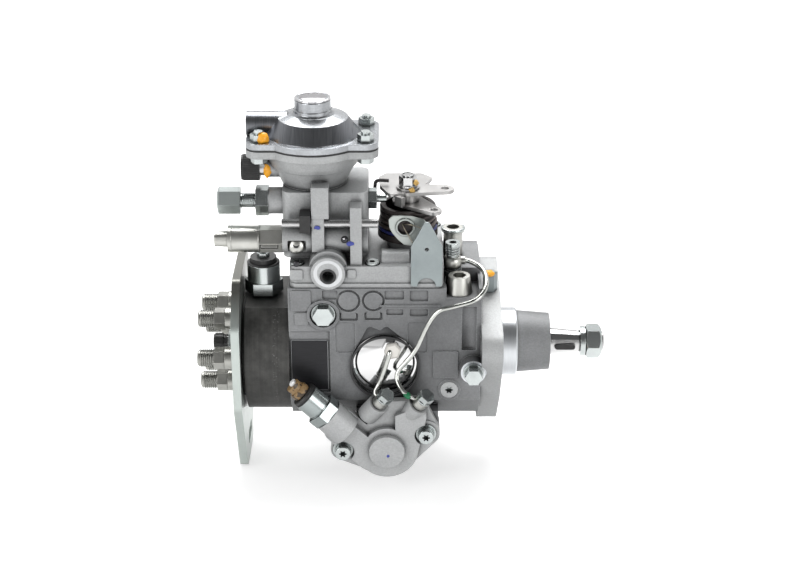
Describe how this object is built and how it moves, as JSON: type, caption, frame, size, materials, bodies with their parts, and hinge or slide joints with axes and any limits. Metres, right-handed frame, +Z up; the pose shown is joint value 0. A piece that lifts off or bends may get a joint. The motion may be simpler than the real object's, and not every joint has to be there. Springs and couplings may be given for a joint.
{
  "type": "diesel injection pump",
  "caption": "Rotary distributor diesel injection pump with flange mount, rear outlets, boost compensator on top and control lever.",
  "frame": {"origin": "centre of the mounting pilot, in the plane of the flange face", "axes": "+X along the drive shaft towards its nut, +Z up towards the boost compensator; the near side with the control lever bracket faces -Y"},
  "size_m": [0.2966, 0.1342, 0.2811],
  "materials": {
    "casting": "as cast, fine grain",
    "cover_casting": "as cast, fine grain",
    "polished_casting": "tumbled, satin",
    "phosphated_steel": "phosphated, oiled",
    "zinc_plate": "bluish zinc plating",
    "bright_steel": "turned and ground",
    "zinc_fastener": "zinc plating",
    "hard_steel": "hardened and ground",
    "spring_steel": "dark oiled wire",
    "bush_bronze": "bored",
    "solenoid_shell": "zinc plating",
    "black_plastic": "matt black",
    "diaphragm_rubber": "matt black"
  },
  "bodies": {
    "casing": {"pump_housing": "casting", "pivot_bolts": "zinc_fastener", "distributor_head": "phosphated_steel", "rear_plate": "zinc_plate", "delivery_holders": "zinc_fastener", "bleed_screw": "black_plastic", "shutoff_solenoid": "solenoid_shell", "governor_cover": "cover_casting", "cover_screws": "zinc_fastener", "boost_cover": "polished_casting", "boost_bolts": "zinc_fastener", "lever_spring": "spring_steel", "lever_bracket": "zinc_plate", "travel_stop": "zinc_fastener", "full_load_screw": "zinc_fastener", "stop_screw": "zinc_fastener", "vent_cap": "black_plastic", "cross_rod": "black_plastic", "timing_cover": "casting", "timing_cover_far": "casting", "timing_solenoid": "solenoid_shell", "leak_pipe_upper": "bright_steel", "leak_pipe_lower": "bright_steel", "banjo_screws": "zinc_fastener", "overflow_screw": "zinc_fastener", "inlet_union": "zinc_fastener", "regulator_valve": "zinc_fastener", "window_cover": "bright_steel", "shaft_bush": "bush_bronze", "pump_ring": "hard_steel", "governor_shaft": "bright_steel", "adjusting_lever": "hard_steel", "plunger_springs": "spring_steel", "boost_diaphragm": "diaphragm_rubber", "boost_spring": "spring_steel", "timing_spring": "spring_steel"},
    "drive_line": {"drive_shaft": "bright_steel", "shaft_key": "bright_steel", "shaft_washer": "zinc_fastener", "shaft_nut": "zinc_fastener", "pump_rotor": "hard_steel", "drive_gear": "hard_steel", "cross_disc": "hard_steel", "cam_plate": "hard_steel", "distributor_plunger": "bright_steel"},
    "governor": {"governor_cage": "hard_steel"},
    "sleeve": {"governor_sleeve": "hard_steel"},
    "weight_1": {"flyweight_1": "hard_steel"},
    "weight_2": {"flyweight_2": "hard_steel"},
    "weight_3": {"flyweight_3": "hard_steel"},
    "weight_4": {"flyweight_4": "hard_steel"},
    "levers": {"governor_levers": "hard_steel"},
    "collar": {"control_collar": "hard_steel"},
    "piston": {"timing_piston": "hard_steel"},
    "ring": {"roller_ring": "hard_steel"},
    "speed_lever": {"lever_shaft": "bright_steel", "control_lever": "bright_steel"},
    "boost": {"boost_plunger": "hard_steel"},
    "shutoff": {"shutoff_armature": "hard_steel"},
    "valves": {"delivery_valves": "hard_steel"}
  },
  "joints": [
    {"name": "drive_turn", "type": "hinge", "parent": "casing", "child": "drive_line", "pos_m": [0, 0, 0], "axis": [1, 0, 0], "continuous": true},
    {"name": "governor_turn", "type": "hinge", "parent": "casing", "child": "governor", "pos_m": [0, 0, 0.047], "axis": [1, 0, 0], "continuous": true},
    {"name": "sleeve_slide", "type": "slide", "parent": "governor", "child": "sleeve", "axis": [-1, 0, 0], "range_m": [0, 0.0032], "stiffness_N_per_m": 2500},
    {"name": "weight_1_swing", "type": "hinge", "parent": "governor", "child": "weight_1", "pos_m": [-0.069, 0.0145, 0.047], "axis": [0, 0, -1], "range_deg": [0, 30]},
    {"name": "weight_2_swing", "type": "hinge", "parent": "governor", "child": "weight_2", "pos_m": [-0.069, 0, 0.0615], "axis": [0, 1, 0], "range_deg": [0, 30]},
    {"name": "weight_3_swing", "type": "hinge", "parent": "governor", "child": "weight_3", "pos_m": [-0.069, -0.0145, 0.047], "axis": [0, 0, 1], "range_deg": [0, 30]},
    {"name": "weight_4_swing", "type": "hinge", "parent": "governor", "child": "weight_4", "pos_m": [-0.069, 0, 0.0325], "axis": [0, -1, 0], "range_deg": [0, 30]},
    {"name": "levers_tilt", "type": "hinge", "parent": "casing", "child": "levers", "pos_m": [-0.118, 0, 0.024], "axis": [0, -1, 0], "range_deg": [0, 8]},
    {"name": "collar_slide", "type": "slide", "parent": "casing", "child": "collar", "axis": [1, 0, 0], "range_m": [0, 0.0021]},
    {"name": "piston_slide", "type": "slide", "parent": "casing", "child": "piston", "axis": [0, 1, 0], "range_m": [0, 0.0117], "stiffness_N_per_m": 6000, "springref_m": -0.003},
    {"name": "ring_turn", "type": "hinge", "parent": "casing", "child": "ring", "pos_m": [0, 0, 0], "axis": [1, 0, 0], "range_deg": [0, 12]},
    {"name": "speed_lever_turn", "type": "hinge", "parent": "casing", "child": "speed_lever", "pos_m": [-0.067, 0, 0.1], "axis": [0, 0, -1], "range_deg": [0, 45], "stiffness_Nm_per_rad": 0.8, "springref_deg": -22.92},
    {"name": "boost_slide", "type": "slide", "parent": "casing", "child": "boost", "axis": [0, 0, -1], "range_m": [0, 0.005], "stiffness_N_per_m": 6000, "springref_m": -0.004, "deforming": ["boost_spring", "boost_diaphragm"]},
    {"name": "shutoff_lift", "type": "slide", "parent": "casing", "child": "shutoff", "axis": [0, 0, 1], "range_m": [0, 0.0015], "stiffness_N_per_m": 2000, "springref_m": -0.003},
    {"name": "valves_lift", "type": "slide", "parent": "casing", "child": "valves", "axis": [-1, 0, 0], "range_m": [0, 0.0016], "stiffness_N_per_m": 3000, "springref_m": -0.002}
  ],
  "couplings": [
    {"joint": "governor_turn", "follows": "drive_turn", "ratio": -1.6111},
    {"joint": "weight_1_swing", "follows": "sleeve_slide", "rad_per_m": 163.6},
    {"joint": "weight_2_swing", "follows": "sleeve_slide", "rad_per_m": 163.6},
    {"joint": "weight_3_swing", "follows": "sleeve_slide", "rad_per_m": 163.6},
    {"joint": "weight_4_swing", "follows": "sleeve_slide", "rad_per_m": 163.6},
    {"joint": "levers_tilt", "follows": "sleeve_slide", "rad_per_m": 43.6},
    {"joint": "collar_slide", "follows": "sleeve_slide", "ratio": 0.653},
    {"joint": "ring_turn", "follows": "piston_slide", "rad_per_m": 17.857}
  ]
}
